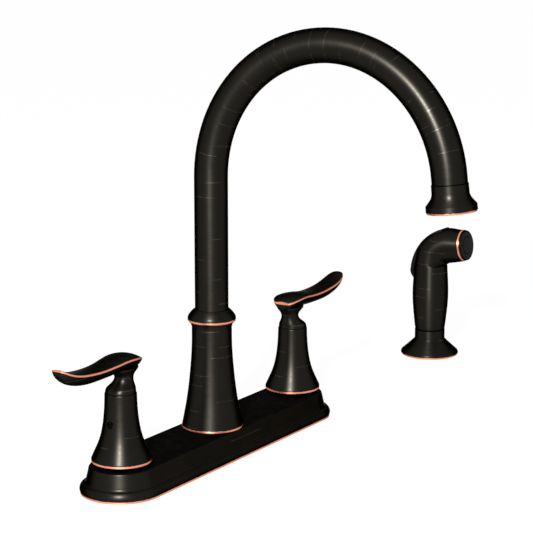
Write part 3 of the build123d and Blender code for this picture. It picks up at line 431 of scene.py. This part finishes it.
def makeBronze(name, piece, layout, extra=None):
    material, tree = newMaterial(name)
    run = layout(tree)
    rubbed = addRubbed(tree, run, piece, extra) if extra or "band" in piece else None
    colour = addBronzeColour(tree, run, piece, rubbed)
    rough, anisotropy = piece.get("sheen", bronze["sheen"])
    way = run.get("way") or addWay(tree, piece.get("axis", upright))
    shader = addNode(tree, "ShaderNodeBsdfPrincipled",
                     {"Base Color": colour, "Metallic": 1.0, "Roughness": addBrushing(tree, run, rough),
                      "Anisotropic": anisotropy, "Specular Tint": toLinear(bronze["rim"]),
                      "Tangent": way})
    addNode(tree, "ShaderNodeOutputMaterial", {"Surface": shader.outputs[0]})
    return material


# deck plate, hub and collar
plate = {"band": (-1.0, 1.2), "scuffSets": 1}          # mm up from the deck
hub = {"band": (16.0, 18.9), "scuffSets": 2}
collar = {"band": (89.8, 91.3), "scuffSets": 1}
finishes = {
    "deck_plate": makeBronze("rubbedBronzePlate", plate, addTurned),
    "spout_hub": makeBronze("rubbedBronzeHub", hub, addTurned),
    "spout_collar": makeBronze("rubbedBronzeCollar", collar, addTurned),
}


# spout tube: straight up, over a bend in two parts and down to the outlet, in mm
tube = {
    "bendY": -90.4,
    "riseCentreZ": 185.8,
    "fallCentreZ": 192.3,
    "riseRadius": 90.4,
    "fallRadius": 83.9,
    "scuffSets": 2,
}


def addTubeRun(tree):
    point = addPlace(tree)
    x, y, z = addNode(tree, "ShaderNodeSeparateXYZ", {0: point}).outputs
    over = addNode(tree, "ShaderNodeMath", {0: y, 1: tube["bendY"]}, operation="LESS_THAN").outputs[0]
    centreZ = addNode(tree, "ShaderNodeMapRange",
                      {"Value": over, "To Min": tube["riseCentreZ"],
                       "To Max": tube["fallCentreZ"]}).outputs[0]
    radius = addNode(tree, "ShaderNodeMapRange",
                     {"Value": over, "To Min": tube["riseRadius"],
                      "To Max": tube["fallRadius"]}).outputs[0]
    outY = addNode(tree, "ShaderNodeMath", {0: y, 1: tube["bendY"]}, operation="SUBTRACT").outputs[0]
    upZ = addNode(tree, "ShaderNodeMath", {0: z, 1: centreZ}, operation="SUBTRACT").outputs[0]
    bendZ = addNode(tree, "ShaderNodeMath", {0: upZ, 1: 0.0}, operation="MAXIMUM").outputs[0]
    belowZ = addNode(tree, "ShaderNodeMath", {0: upZ, 1: 0.0}, operation="MINIMUM").outputs[0]
    arm = addNode(tree, "ShaderNodeCombineXYZ", {1: outY, 2: bendZ}).outputs[0]
    armLength = addNode(tree, "ShaderNodeVectorMath", {0: arm}, operation="LENGTH").outputs["Value"]
    outside = addNode(tree, "ShaderNodeMath", {0: armLength, 1: radius}, operation="SUBTRACT").outputs[0]
    turned = addNode(tree, "ShaderNodeMath", {0: bendZ, 1: outY}, operation="ARCTAN2").outputs[0]
    bent = addNode(tree, "ShaderNodeMath", {0: turned, 1: radius}, operation="MULTIPLY").outputs[0]
    straight = addNode(tree, "ShaderNodeMath", {0: belowZ, 1: tube["riseCentreZ"]},
                       operation="ADD").outputs[0]
    along = addNode(tree, "ShaderNodeMath", {0: bent, 1: straight}, operation="ADD").outputs[0]
    angle = addNode(tree, "ShaderNodeMath", {0: x, 1: outside}, operation="ARCTAN2").outputs[0]
    flat = addNode(tree, "ShaderNodeCombineXYZ", {0: x, 1: outside}).outputs[0]
    ring = addNode(tree, "ShaderNodeVectorMath", {0: flat}, operation="NORMALIZE").outputs[0]
    way = addNode(tree, "ShaderNodeVectorMath", {0: sideways, 1: arm},
                  operation="CROSS_PRODUCT").outputs[0]
    way = addNode(tree, "ShaderNodeVectorMath", {0: way}, operation="NORMALIZE").outputs[0]
    return {"point": point, "along": along, "angle": angle, "ring": ring, "way": way}


# outlet: flares down the slanting end of the tube, with painted shade in the seam where they meet
outlet = {
    "place": (0.0, -174.21, 197.59),
    "axis": (0.0, -0.1045, -0.9945),
    "band": (16.7, 18.5),
    # painted shade in the seam, along the outlet
    "seamShade": (-0.3, 0.65),
    "scuffSets": 1,
}
finishes["spout_tube"] = makeBronze("rubbedBronzeTube", tube, addTubeRun)
finishes["spout_outlet"] = makeBronze("rubbedBronzeOutlet", outlet,
                                      lambda tree: addSlanted(tree, outlet["place"], outlet["axis"]))


# handles: a band round the bell's rim, and the paddle's edge from its tip over the bell to its far end
handle = {
    "x": 101.6,
    "band": (19.0, 21.7),
    "scuffSets": 1,
    "lowest": 80.0,             # the edge curves are drawn between these
    "highest": 96.0,
    "widest": 12.0,
    # mm out from the axis, height and half width
    "stations": ((-14.4, 84.1, 4.6), (-12.8, 84.8, 7.7), (-9.0, 85.9, 9.7), (-3.0, 86.7, 10.5),
                 (4.0, 86.6, 9.9), (14.0, 85.6, 8.8), (26.0, 85.0, 8.0), (38.0, 85.6, 7.6),
                 (49.0, 87.2, 7.5), (57.0, 89.6, 6.9), (61.0, 91.5, 5.3), (62.9, 92.5, 3.2)),
    "topWidth": 0.3,            # of the rubbed line, seen from above
    "topSoft": (0.25, 0.15),    # inside and outside of that width
    "topDepth": 0.2,            # below the edge where the top line ends
    "topWander": 0.8,
    "sideHeight": 0.95,         # of the rubbed line, seen from the side
    "sideOver": 0.1,            # how far it goes above the edge
    "sideSoft": 0.15,
}


# gives the function that adds the rubbed edge of one paddle; side is -1 for the left
def makePaddleEdge(side):
    start = handle["stations"][0][0]
    end = handle["stations"][-1][0]
    rise = handle["highest"] - handle["lowest"]
    heights = []
    widths = []
    for station, height, halfWidth in handle["stations"]:
        share = (station - start) / (end - start)
        heights.append((share, (height - handle["lowest"]) / rise))
        widths.append((share, halfWidth / handle["widest"]))

    def addEdge(tree, run, wander):
        split = addNode(tree, "ShaderNodeSeparateXYZ", {0: run["point"]}).outputs
        out = addNode(tree, "ShaderNodeMath", {0: split[0], 1: side}, operation="MULTIPLY").outputs[0]
        share = addNode(tree, "ShaderNodeMapRange",
                        {"Value": out, "From Min": start, "From Max": end}).outputs[0]
        # the edge's height and half width there, each read from a curve
        curves = []
        for places in (heights, widths):
            curve = addNode(tree, "ShaderNodeFloatCurve", {"Value": share})
            points = curve.mapping.curves[0].points
            points[0].location = places[0]
            points[1].location = places[-1]
            for place in places[1:-1]:
                points.new(*place)
            curve.mapping.update()
            curves.append(curve.outputs[0])
        edgeHeight = addNode(tree, "ShaderNodeMath", {0: curves[0], 1: rise, 2: handle["lowest"]},
                             operation="MULTIPLY_ADD").outputs[0]
        halfWidth = addNode(tree, "ShaderNodeMath", {0: curves[1], 1: handle["widest"]},
                            operation="MULTIPLY").outputs[0]
        # how far in from the nearest edge
        across = addNode(tree, "ShaderNodeMath", {0: split[1]}, operation="ABSOLUTE").outputs[0]
        inward = addNode(tree, "ShaderNodeMath", {0: halfWidth, 1: across},
                         operation="SUBTRACT").outputs[0]
        toEnd = addNode(tree, "ShaderNodeMath", {0: end, 1: out}, operation="SUBTRACT").outputs[0]
        toStart = addNode(tree, "ShaderNodeMath", {0: out, 1: start}, operation="SUBTRACT").outputs[0]
        for distance in (toEnd, toStart):
            inward = addNode(tree, "ShaderNodeMath", {0: inward, 1: distance},
                             operation="MINIMUM").outputs[0]
        above = addNode(tree, "ShaderNodeMath", {0: split[2], 1: edgeHeight},
                        operation="SUBTRACT").outputs[0]
        onTop = addNode(tree, "ShaderNodeMapRange",
                        {"Value": above, "From Min": -handle["topDepth"], "From Max": 0.0}).outputs[0]
        drift = addNode(tree, "ShaderNodeMath", {0: wander, 1: handle["topWander"], 2: inward},
                        operation="MULTIPLY_ADD").outputs[0]
        inner, outer = handle["topSoft"]
        top = addNode(tree, "ShaderNodeMapRange",
                      {"Value": drift, "From Min": handle["topWidth"] - inner,
                       "From Max": handle["topWidth"] + outer, "To Min": 1.0, "To Max": 0.0},
                      interpolation_type="SMOOTHSTEP").outputs[0]
        top = addNode(tree, "ShaderNodeMath", {0: top, 1: onTop}, operation="MULTIPLY").outputs[0]
        flank = addBand(tree, above, -handle["sideHeight"], handle["sideOver"], handle["sideSoft"])
        return addNode(tree, "ShaderNodeMath", {0: top, 1: flank}, operation="MAXIMUM").outputs[0]

    return addEdge


finishes["handle_left"] = makeBronze("rubbedBronzeLeftHandle", handle,
                                     lambda tree: addTurned(tree, -handle["x"]), makePaddleEdge(-1))
finishes["handle_right"] = makeBronze("rubbedBronzeRightHandle", handle,
                                      lambda tree: addTurned(tree, handle["x"]), makePaddleEdge(1))


# side spray: holder, wand and trigger, brushed up the grip and along the head
holder = {"x": 309.0, "band": (-1.0, 1.3), "scuffSets": 1, "sheen": mouldedSheen}
wand = {
    "elbowY": -17.0,
    "elbowZ": 72.0,
    "leastBack": 0.01,          # keeps the way of the brushing off zero
    "headPlace": (309.0, -14.93, 88.87),
    "headAxis": (0.0, -0.9925, 0.1219),
    "faceRing": (13.9, 15.1),   # rubbed, along the head
    "ringWander": 0.5,
    "seamShade": (19.0, 21.2),       # shadow where the grip meets the holder
    "scuffSets": 2,
    "sheen": mouldedSheen,
}
trigger = {"scuffSets": 1, "sheen": mouldedSheen}


def addWandRun(tree):
    run = addTurned(tree, holder["x"])
    split = addNode(tree, "ShaderNodeSeparateXYZ", {0: run["point"]}).outputs
    back = addNode(tree, "ShaderNodeMath", {0: split[1], 1: wand["elbowY"]},
                   operation="SUBTRACT").outputs[0]
    back = addNode(tree, "ShaderNodeMath", {0: back, 1: wand["leastBack"]},
                   operation="MAXIMUM").outputs[0]
    up = addNode(tree, "ShaderNodeMath", {0: split[2], 1: wand["elbowZ"]},
                 operation="SUBTRACT").outputs[0]
    up = addNode(tree, "ShaderNodeMath", {0: up, 1: 0.0}, operation="MAXIMUM").outputs[0]
    down = addNode(tree, "ShaderNodeMath", {0: up, 1: -1.0}, operation="MULTIPLY").outputs[0]
    way = addNode(tree, "ShaderNodeCombineXYZ", {1: down, 2: back}).outputs[0]
    run["way"] = addNode(tree, "ShaderNodeVectorMath", {0: way}, operation="NORMALIZE").outputs[0]
    return run


def addFaceRing(tree, run, wander):
    along = addAlong(tree, wand["headPlace"], wand["headAxis"])[1]
    along = addNode(tree, "ShaderNodeMath", {0: wander, 1: wand["ringWander"], 2: along},
                    operation="MULTIPLY_ADD").outputs[0]
    return addBand(tree, along, *wand["faceRing"], bronze["bandSoft"])


finishes["spray_holder"] = makeBronze("rubbedBronzeHolder", holder,
                                      lambda tree: addTurned(tree, holder["x"]))
finishes["spray_wand"] = makeBronze("coatedBronzeWand", wand, addWandRun, addFaceRing)
finishes["spray_trigger"] = makeBronze("coatedBronzeTrigger", trigger, addWandRun)
print("bronze finishes made")


# metals of the parts inside and below: grain is the pitch of the turning or rolling lines in mm
metals = {
    # fine turning lines, yellow
    "brass": {"name": "brassTurned", "base": "#c9a866", "deep": "#b08f4f",
              "roughness": 0.32, "grain": 0.35},
    # the same, with painted shade from this height in mm up, where it clears the plate
    "paintedShadeTopBrass": {"name": "brassTurnedPaintedShadeTop", "base": "#c9a866", "deep": "#b08f4f",
                     "roughness": 0.32, "grain": 0.35, "paintedShadeAbove": 12.0},
    # dull warm tube
    "copper": {"name": "copperDrawn", "base": "#c98a68", "deep": "#a86a4a",
               "roughness": 0.36, "grain": 0.8},
    # grey, faint rolling lines
    "steel": {"name": "stainlessSteelPressed", "base": "#b4b4b2", "deep": "#9c9c9a",
              "roughness": 0.3, "grain": 0.5},
    # dark oiled screw and pin
    "blackSteel": {"name": "blackOxideSteelCut", "base": "#2b2a29", "deep": "#1c1c1b",
                   "roughness": 0.4, "grain": 0.5},
}
metalSurface = {
    "acrossLines": 0.25,        # scale of the lines along their own way, per mm
    "cloudScale": 0.09,
    "cloudRange": (0.35, 0.65),
    "lineRange": (0.3, 0.7),
    "swing": 0.06,              # of the roughness
    "bump": 0.12,
    "bumpHeight": 0.05 * mm,
}


def makeMetal(m, s):
    material, tree = newMaterial(m["name"])
    point = addPlace(tree)
    stretched = addNode(tree, "ShaderNodeVectorMath",
                        {0: point, 1: (s["acrossLines"], s["acrossLines"], 1 / m["grain"])},
                        operation="MULTIPLY").outputs[0]
    lines = addNode(tree, "ShaderNodeTexNoise",
                    {"Vector": stretched, "Scale": 1.0, "Detail": 2.0}).outputs["Fac"]
    cloud = addNode(tree, "ShaderNodeTexNoise",
                    {"Vector": point, "Scale": s["cloudScale"], "Detail": 4.0}).outputs["Fac"]
    share = addNode(tree, "ShaderNodeMapRange",
                    {"Value": cloud, "From Min": s["cloudRange"][0],
                     "From Max": s["cloudRange"][1]}).outputs[0]
    colour = addNode(tree, "ShaderNodeMix", {0: share, 6: toLinear(m["base"]), 7: toLinear(m["deep"])},
                     data_type="RGBA").outputs[2]
    # painted shade: above that height the brass takes the bronze's base colour
    if "paintedShadeAbove" in m:
        height = addNode(tree, "ShaderNodeSeparateXYZ", {0: point}).outputs[2]
        inPaintedShade = addNode(tree, "ShaderNodeMath", {0: height, 1: m["paintedShadeAbove"]},
                         operation="GREATER_THAN").outputs[0]
        colour = addNode(tree, "ShaderNodeMix", {0: inPaintedShade, 6: colour, 7: toLinear(bronze["base"])},
                         data_type="RGBA").outputs[2]
    rough = addNode(tree, "ShaderNodeMapRange",
                    {"Value": lines, "From Min": s["lineRange"][0], "From Max": s["lineRange"][1],
                     "To Min": m["roughness"] - s["swing"],
                     "To Max": m["roughness"] + s["swing"]}).outputs[0]
    bump = addNode(tree, "ShaderNodeBump",
                   {"Height": lines, "Strength": s["bump"], "Distance": s["bumpHeight"]}).outputs[0]
    shader = addNode(tree, "ShaderNodeBsdfPrincipled",
                     {"Base Color": colour, "Metallic": 1.0, "Roughness": rough, "Normal": bump})
    addNode(tree, "ShaderNodeOutputMaterial", {"Surface": shader.outputs[0]})
    return material


# mouldings, rubber and ceramic: grain is the size of the grit in mm, sheen the strength of the gloss
mouldings = {
    # matt black
    "rubber": {"name": "nitrileRubberMoulded", "base": "#1a1a1a", "deep": "#242424", "roughness": 0.72,
               "ior": 1.52, "grain": 0.3, "sheen": 0.5},
    # satin black
    "plastic": {"name": "acetalMoulded", "base": "#1c1b1a", "deep": "#272523", "roughness": 0.42,
                "ior": 1.48, "grain": 0.4, "sheen": 0.5},
    # pale, lapped smooth
    "ceramic": {"name": "aluminaCeramicGround", "base": "#efece4", "deep": "#e2ded4", "roughness": 0.22,
                "ior": 1.76, "grain": 0.25, "sheen": 0.5},
    # matt spray face, with painted shade in its jet holes
    "face": {"name": "blackRubberFaceMoulded", "base": "#1a1a19", "deep": "#1e1e1d", "roughness": 0.6,
             "ior": 1.5, "grain": 0.35, "sheen": 0.03, "shade": "#020202"},
}
mouldedSurface = {"cloudScale": 0.12, "bump": 0.2, "bumpHeight": 0.06 * mm}


def makeMoulded(m, s, shade=None):
    material, tree = newMaterial(m["name"])
    point = addPlace(tree)
    grit = addNode(tree, "ShaderNodeTexNoise",
                   {"Vector": point, "Scale": 1 / m["grain"], "Detail": 3.0}).outputs["Fac"]
    cloud = addNode(tree, "ShaderNodeTexNoise",
                    {"Vector": point, "Scale": s["cloudScale"], "Detail": 2.0}).outputs["Fac"]
    colour = addNode(tree, "ShaderNodeMix", {0: cloud, 6: toLinear(m["base"]), 7: toLinear(m["deep"])},
                     data_type="RGBA").outputs[2]
    # painted shade where the mask is 1
    if shade:
        colour = addNode(tree, "ShaderNodeMix", {0: shade(tree), 6: colour, 7: toLinear(m["shade"])},
                         data_type="RGBA").outputs[2]
    bump = addNode(tree, "ShaderNodeBump",
                   {"Height": grit, "Strength": s["bump"], "Distance": s["bumpHeight"]}).outputs[0]
    shader = addNode(tree, "ShaderNodeBsdfPrincipled",
                     {"Base Color": colour, "Roughness": m["roughness"], "IOR": m["ior"],
                      "Specular IOR Level": m["sheen"], "Normal": bump})
    addNode(tree, "ShaderNodeOutputMaterial", {"Surface": shader.outputs[0]})
    return material


# the ring of jets in the spray's face, in mm
jets = {"count": 18, "ring": 6.7, "radius": 0.75}


# 1 at the jet holes, where shade is painted
def addJetShade(tree):
    head = addSlanted(tree, wand["headPlace"], wand["headAxis"])
    step = 2 * pi / jets["count"]
    turns = addNode(tree, "ShaderNodeMath", {0: head["angle"], 1: 1 / step},
                    operation="MULTIPLY").outputs[0]
    side = addNode(tree, "ShaderNodeMath", {0: turns}, operation="FRACT").outputs[0]
    side = addNode(tree, "ShaderNodeMath", {0: side, 1: 0.5}, operation="SUBTRACT").outputs[0]
    side = addNode(tree, "ShaderNodeMath", {0: side, 1: step * jets["ring"]},
                   operation="MULTIPLY").outputs[0]
    reach = addNode(tree, "ShaderNodeVectorMath", {0: head["away"]},
                    operation="LENGTH").outputs["Value"]
    out = addNode(tree, "ShaderNodeMath", {0: reach, 1: jets["ring"]}, operation="SUBTRACT").outputs[0]
    spot = addNode(tree, "ShaderNodeCombineXYZ", {0: side, 1: out}).outputs[0]
    away = addNode(tree, "ShaderNodeVectorMath", {0: spot}, operation="LENGTH").outputs["Value"]
    return addNode(tree, "ShaderNodeMath", {0: away, 1: jets["radius"]}, operation="LESS_THAN").outputs[0]


# by the record's slot
slotMaterials = {}
for slotName in ("brass", "copper", "steel"):
    slotMaterials[slotName] = makeMetal(metals[slotName], metalSurface)
for slotName in ("rubber", "plastic", "ceramic"):
    slotMaterials[slotName] = makeMoulded(mouldings[slotName], mouldedSurface)

# small pieces that differ from the rest of their slot
# brass with painted shade on the valve bodies' tops, in the gap under the bells
paintedShadeTopBrass = makeMetal(metals["paintedShadeTopBrass"], metalSurface)
blackSteel = makeMetal(metals["blackSteel"], metalSurface)
for name in ("valve_body_left", "valve_body_right"):
    finishes[name] = paintedShadeTopBrass
for name in ("set_screw_left", "set_screw_right", "trigger_pin"):
    finishes[name] = blackSteel
finishes["spray_nozzle"] = makeMoulded(mouldings["face"], mouldedSurface, addJetShade)

slots = {part["node"]: part["material_slot"] for part in frame["record"]["subparts"]}
for name, obj in nodes.items():
    obj.data.materials.clear()
    obj.data.materials.append(finishes.get(name) or slotMaterials[slots[name]])
print("materials given")


# cut threads of the shanks, the holder's tail, the nipple and the spray's inlet, in mm
threads = {
    "crest": 0.35,              # above the bar
    "root": 0.12,               # below it, so that the ridge grows out of the bar
    "steps": 40,                # round one turn
    "footHalf": 0.38,           # half width of the ridge at its foot, in pitches
    "crestHalf": 0.06,          # and at its crest
    # name, body, slot, x of its axis, radius of the bar, pitch, bottom and top
    "runs": (
        ("thread_shank_left", "deck_set", "brass", -handle["x"], 10.45, 1.81, -39.5, -28.6),
        ("thread_supply_left", "deck_set", "brass", -handle["x"], 10.25, 1.81, -60.2, -44.6),
        ("thread_shank_right", "deck_set", "brass", handle["x"], 10.45, 1.81, -39.5, -28.6),
        ("thread_supply_right", "deck_set", "brass", handle["x"], 10.25, 1.81, -60.2, -44.6),
        ("thread_nipple", "deck_set", "brass", 0.0, 6.6, 1.41, -44.8, -28.6),
        ("thread_holder", "deck_set", "spray_bronze", holder["x"], 12.6, 1.81, -37.2, -22.9),
        ("thread_inlet", "hose_end", "brass", holder["x"], 5.9, 1.41, -6.8, 1.8),
    ),
}


def makeThread(t, name, body, slotName, centreX, radius, pitch, bottom, top):
    points = []
    faces = []
    total = int((top - bottom) / pitch * t["steps"])
    low = radius - t["root"]
    for i in range(total + 1):
        turn = 2 * pi * i / t["steps"]
        fade = min(1.0, i / t["steps"], (total - i) / t["steps"])
        z = bottom + pitch * i / t["steps"]
        crest = low + (t["root"] + t["crest"]) * fade
        for r, lift in ((low, -t["footHalf"]), (crest, -t["crestHalf"]), (crest, t["crestHalf"]),
                        (low, t["footHalf"])):
            points.append(((centreX + r * cos(turn)) * mm, r * sin(turn) * mm, (z + pitch * lift) * mm))
    for i in range(total):
        a = 4 * i
        for k in range(4):
            faces.append((a + k, a + (k + 1) % 4, a + 4 + (k + 1) % 4, a + 4 + k))
    end = 4 * total
    faces.append((3, 2, 1, 0))
    faces.append((end, end + 1, end + 2, end + 3))
    data = bpy.data.meshes.new(name)
    data.from_pydata(points, [], faces)
    # the holder's tail has the holder's own finish
    data.materials.append(slotMaterials.get(slotName) or finishes["spray_holder"])
    thread = bpy.data.objects.new(name, data)
    bpy.context.scene.collection.objects.link(thread)
    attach(thread, body)


for run in threads["runs"]:
    makeThread(threads, *run)
print("threads cut")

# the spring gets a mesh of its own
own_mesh(nodes["spray_spring"])
